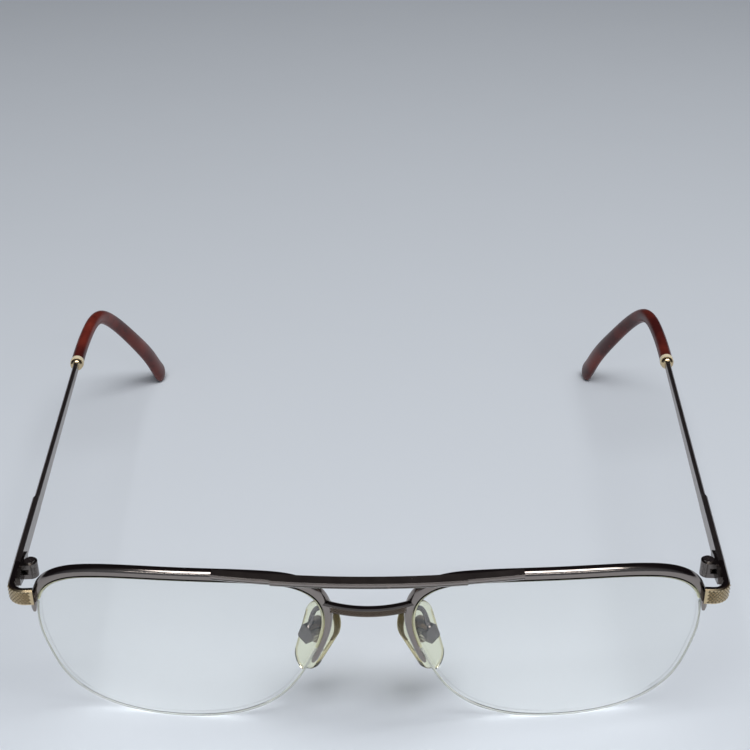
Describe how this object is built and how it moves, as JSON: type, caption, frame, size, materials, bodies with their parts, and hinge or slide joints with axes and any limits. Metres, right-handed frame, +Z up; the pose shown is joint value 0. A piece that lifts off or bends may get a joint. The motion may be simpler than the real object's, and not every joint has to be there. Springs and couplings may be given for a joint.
{
  "type": "double bridge glasses",
  "caption": "Half rim eyeglasses with a brow bar over the nose bridge, nylon held lenses, rocking nose pads and folding temples.",
  "frame": {"origin": "centre of the footprint at floor level, under the two lens edges and the ends of the temples", "axes": "+Z up, +X towards the wearer's left, -Y out of the lens fronts, +Y back along the temples"},
  "size_m": [0.1558, 0.1592, 0.0462],
  "materials": {
    "dark_plating": "polished dark warm plating on nickel silver wire",
    "hinge_metal": "dark plated hinge and pad fittings",
    "screw_metal": "bright screw heads",
    "gold_plating": "worn gold plating, knurled on the end pieces",
    "temple_metal": "satin grey brown plating",
    "liner": "pale yellow translucent strip",
    "lens": "clear polished lens",
    "nylon": "clear nylon line",
    "pad_plastic": "clear plastic yellowed with age",
    "pad_core": "dark metal core plate",
    "pale_ring": "cream plastic ring",
    "tip_acetate": "dark red brown mottled acetate"
  },
  "bodies": {
    "front": {"brow_bar": "dark_plating", "nose_bridge": "dark_plating", "rim_left": "dark_plating", "rim_right": "dark_plating", "rim_liner_left": "liner", "rim_liner_right": "liner", "lens_left": "lens", "lens_right": "lens", "nylon_cord_left": "nylon", "nylon_cord_right": "nylon", "end_piece_left": "gold_plating", "end_piece_right": "gold_plating", "hinge_front_leaf_left": "hinge_metal", "hinge_front_leaf_right": "hinge_metal", "hinge_screw_left": "screw_metal", "hinge_screw_right": "screw_metal", "pad_arm_left": "hinge_metal", "pad_arm_right": "hinge_metal", "pad_box_left": "hinge_metal", "pad_box_right": "hinge_metal", "pad_screw_left": "screw_metal", "pad_screw_right": "screw_metal"},
    "temple_left": {"temple_left": "temple_metal", "hinge_temple_leaf_left": "hinge_metal", "ferrule_left": "gold_plating", "tip_ring_left": "pale_ring", "temple_tip_left": "tip_acetate"},
    "temple_right": {"temple_right": "temple_metal", "hinge_temple_leaf_right": "hinge_metal", "ferrule_right": "gold_plating", "tip_ring_right": "pale_ring", "temple_tip_right": "tip_acetate"},
    "pad_left": {"nose_pad_left": "pad_plastic", "pad_plate_left": "pad_core"},
    "pad_right": {"nose_pad_right": "pad_plastic", "pad_plate_right": "pad_core"}
  },
  "joints": [
    {"name": "temple_left_fold", "type": "hinge", "parent": "front", "child": "temple_left", "pos_m": [0.068, -0.06092, 0.0351], "axis": [0, 0, 1], "range_deg": [0, 89]},
    {"name": "temple_right_fold", "type": "hinge", "parent": "front", "child": "temple_right", "pos_m": [-0.068, -0.06092, 0.0351], "axis": [0, 0, -1], "range_deg": [0, 70]},
    {"name": "pad_left_rock", "type": "hinge", "parent": "front", "child": "pad_left", "pos_m": [0.01213, -0.06509, 0.02281], "axis": [0.6677, 0.7041, 0.2415], "range_deg": [-8, 8]},
    {"name": "pad_right_rock", "type": "hinge", "parent": "front", "child": "pad_right", "pos_m": [-0.01213, -0.06509, 0.02281], "axis": [0.6677, -0.7041, -0.2415], "range_deg": [-8, 8]}
  ]
}
